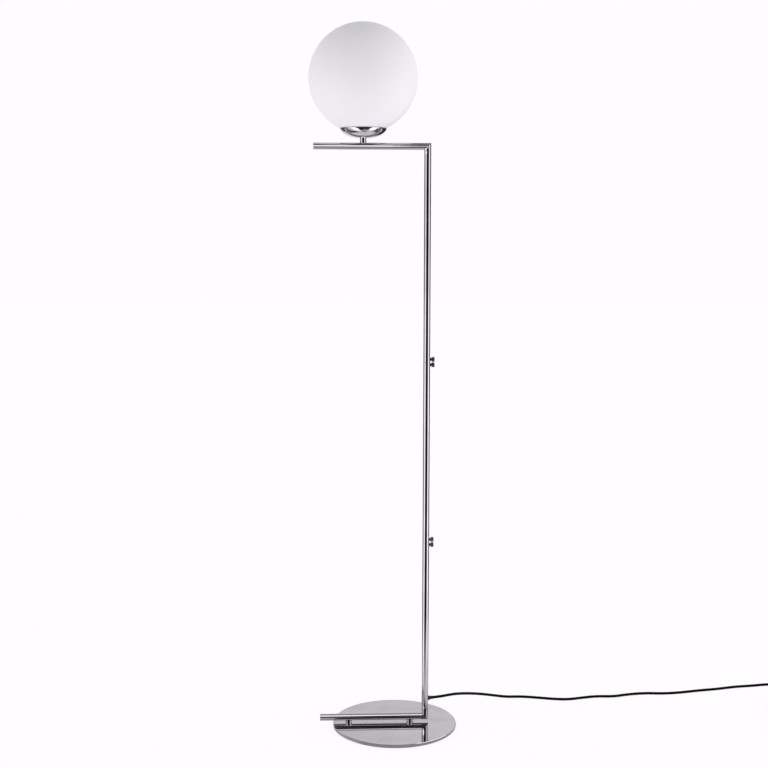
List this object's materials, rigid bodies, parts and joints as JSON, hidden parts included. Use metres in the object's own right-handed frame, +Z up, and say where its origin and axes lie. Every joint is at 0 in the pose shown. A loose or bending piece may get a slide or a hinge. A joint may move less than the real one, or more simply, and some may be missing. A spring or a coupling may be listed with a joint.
{
  "type": "globe floor lamp",
  "caption": "Floor lamp with an opal glass globe in a shallow cup on a level arm, a jointed tube post, a bar on a round base, and a cord with a foot switch and a plug.",
  "frame": {"origin": "centre of the round base, on the floor", "axes": "+Z up; the lower bar and the upper arm point to -X, the post stands at +X, and the front faces -Y"},
  "size_m": [1.0395, 0.3168, 1.35],
  "materials": {
    "chrome": "polished",
    "steel": "zinc plated",
    "rubber": "matt",
    "opal_glass": "acid-etched opal",
    "holder_plastic": "moulded",
    "brass": "stamped",
    "solder": "soldered",
    "bulb_insulator": "vitrified",
    "nickel": "nickel plated",
    "bulb_glass": "frosted",
    "lead_sheath": "extruded",
    "cord_sheath": "extruded",
    "black_plastic": "moulded"
  },
  "bodies": {
    "base": {"base_pad": "rubber", "base_plate": "chrome", "base_screws": "steel", "left_spacer": "chrome", "right_spacer": "chrome", "bar_bushes": "steel", "lower_bar": "chrome", "bar_end_plug": "chrome", "lower_post": "chrome", "lower_sleeve": "steel", "lower_lead": "lead_sheath", "cord_grommet": "black_plastic", "floor_cord": "cord_sheath", "switch_inlet_boot": "black_plastic", "switch_base": "black_plastic", "switch_cover": "black_plastic", "switch_carrier": "lead_sheath", "switch_screws": "steel", "switch_outlet_boot": "black_plastic", "tail_cord": "cord_sheath", "cord_coil": "cord_sheath", "plug_boot": "black_plastic", "plug_body": "black_plastic", "plug_pins": "nickel"},
    "middle": {"middle_post": "chrome", "middle_lead": "lead_sheath", "upper_sleeve": "steel"},
    "head": {"upper_post": "chrome", "upper_arm": "chrome", "arm_end_plug": "chrome", "upper_lead": "lead_sheath", "stem": "chrome", "nipple": "steel", "cup": "chrome", "cup_nut": "steel", "gallery": "chrome", "holder_base": "holder_plastic", "holder_body": "holder_plastic", "screw_shell": "brass"},
    "gasket": {"globe_gasket": "rubber"},
    "globe": {"globe": "opal_glass"},
    "contact": {"centre_contact": "brass"},
    "bulb": {"bulb_tip": "solder", "bulb_insulator": "bulb_insulator", "bulb_cap": "nickel", "bulb_glass": "bulb_glass"},
    "button": {"switch_button": "black_plastic", "switch_spring": "steel"},
    "low_joint_bottom_washer": {"low_joint_bottom_washer": "chrome"},
    "low_joint_bottom_screw": {"low_joint_bottom_thumbscrew": "chrome"},
    "low_joint_top_washer": {"low_joint_top_washer": "chrome"},
    "low_joint_top_screw": {"low_joint_top_thumbscrew": "chrome"},
    "high_joint_bottom_washer": {"high_joint_bottom_washer": "chrome"},
    "high_joint_bottom_screw": {"high_joint_bottom_thumbscrew": "chrome"},
    "high_joint_top_washer": {"high_joint_top_washer": "chrome"},
    "high_joint_top_screw": {"high_joint_top_thumbscrew": "chrome"}
  },
  "joints": [
    {"name": "middle_turn", "type": "hinge", "parent": "base", "child": "middle", "pos_m": [0.06, 0, 0.3675], "axis": [0, 0, 1], "range_deg": [-170, 170]},
    {"name": "head_turn", "type": "hinge", "parent": "middle", "child": "head", "pos_m": [0.06, 0, 0.718], "axis": [0, 0, 1], "range_deg": [-170, 170]},
    {"name": "globe_lift", "type": "slide", "parent": "head", "child": "gasket", "axis": [0, 0, 1], "range_m": [0, 0.0046]},
    {"name": "globe_unscrew", "type": "hinge", "parent": "gasket", "child": "globe", "pos_m": [-0.061, 0, 1.2485], "axis": [0, 0, 1], "range_deg": [0, 540]},
    {"name": "contact_lift", "type": "slide", "parent": "head", "child": "contact", "axis": [0, 0, 1], "range_m": [0, 0.0029]},
    {"name": "bulb_unscrew", "type": "hinge", "parent": "contact", "child": "bulb", "pos_m": [-0.061, 0, 1.2], "axis": [0, 0, 1], "range_deg": [0, 360]},
    {"name": "button_press", "type": "slide", "parent": "base", "child": "button", "axis": [0, 0, -1], "range_m": [0, 0.003], "stiffness_N_per_m": 800, "springref_m": -0.002, "deforming": ["switch_spring"]},
    {"name": "low_joint_bottom_back_out", "type": "slide", "parent": "base", "child": "low_joint_bottom_washer", "axis": [1, 0, 0], "range_m": [0, 0.0028]},
    {"name": "low_joint_bottom_turn", "type": "hinge", "parent": "low_joint_bottom_washer", "child": "low_joint_bottom_screw", "pos_m": [0.06, 0, 0.36225], "axis": [1, 0, 0], "range_deg": [0, 1441]},
    {"name": "low_joint_top_back_out", "type": "slide", "parent": "middle", "child": "low_joint_top_washer", "axis": [1, 0, 0], "range_m": [0, 0.0028]},
    {"name": "low_joint_top_turn", "type": "hinge", "parent": "low_joint_top_washer", "child": "low_joint_top_screw", "pos_m": [0.06, 0, 0.37275], "axis": [1, 0, 0], "range_deg": [0, 1441]},
    {"name": "high_joint_bottom_back_out", "type": "slide", "parent": "middle", "child": "high_joint_bottom_washer", "axis": [1, 0, 0], "range_m": [0, 0.0028]},
    {"name": "high_joint_bottom_turn", "type": "hinge", "parent": "high_joint_bottom_washer", "child": "high_joint_bottom_screw", "pos_m": [0.06, 0, 0.71275], "axis": [1, 0, 0], "range_deg": [0, 1441]},
    {"name": "high_joint_top_back_out", "type": "slide", "parent": "head", "child": "high_joint_top_washer", "axis": [1, 0, 0], "range_m": [0, 0.0028]},
    {"name": "high_joint_top_turn", "type": "hinge", "parent": "high_joint_top_washer", "child": "high_joint_top_screw", "pos_m": [0.06, 0, 0.72325], "axis": [1, 0, 0], "range_deg": [0, 1441]}
  ],
  "couplings": [
    {"joint": "globe_lift", "follows": "globe_unscrew", "m_per_rad": 0.00047746},
    {"joint": "contact_lift", "follows": "bulb_unscrew", "m_per_rad": 0.00044882},
    {"joint": "low_joint_bottom_turn", "follows": "low_joint_bottom_back_out", "rad_per_m": 8976},
    {"joint": "low_joint_top_turn", "follows": "low_joint_top_back_out", "rad_per_m": 8976},
    {"joint": "high_joint_bottom_turn", "follows": "high_joint_bottom_back_out", "rad_per_m": 8976},
    {"joint": "high_joint_top_turn", "follows": "high_joint_top_back_out", "rad_per_m": 8976}
  ]
}
